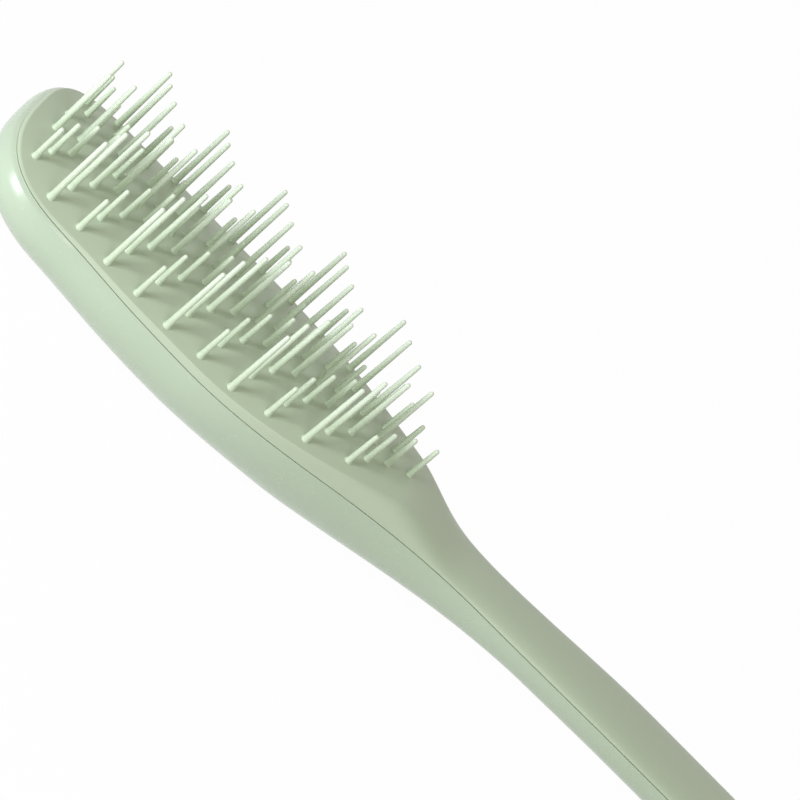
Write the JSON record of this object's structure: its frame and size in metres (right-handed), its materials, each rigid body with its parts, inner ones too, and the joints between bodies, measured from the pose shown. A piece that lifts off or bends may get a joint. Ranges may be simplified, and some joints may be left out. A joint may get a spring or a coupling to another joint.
{
  "type": "detangling brush",
  "caption": "Slim handled detangling brush: hollow glossy back shell, satin front moulding and a crowned soft pad with tall and short tapered teeth in arched rows.",
  "frame": {"origin": "centre of the footprint, on the surface that the back shell lies on", "axes": "+Z the way the teeth point, +Y along the brush towards the head's tip, +X across"},
  "size_m": [0.051, 0.225, 0.041],
  "materials": {
    "rear_gloss": "glossy pale sage green",
    "front_satin": "satin sage green",
    "pad_soft": "satin sage green, slightly translucent elastomer"
  },
  "bodies": {
    "root": {"rear_shell": "rear_gloss", "front_shell": "front_satin", "tooth_pad": "pad_soft"}
  },
  "joints": []
}
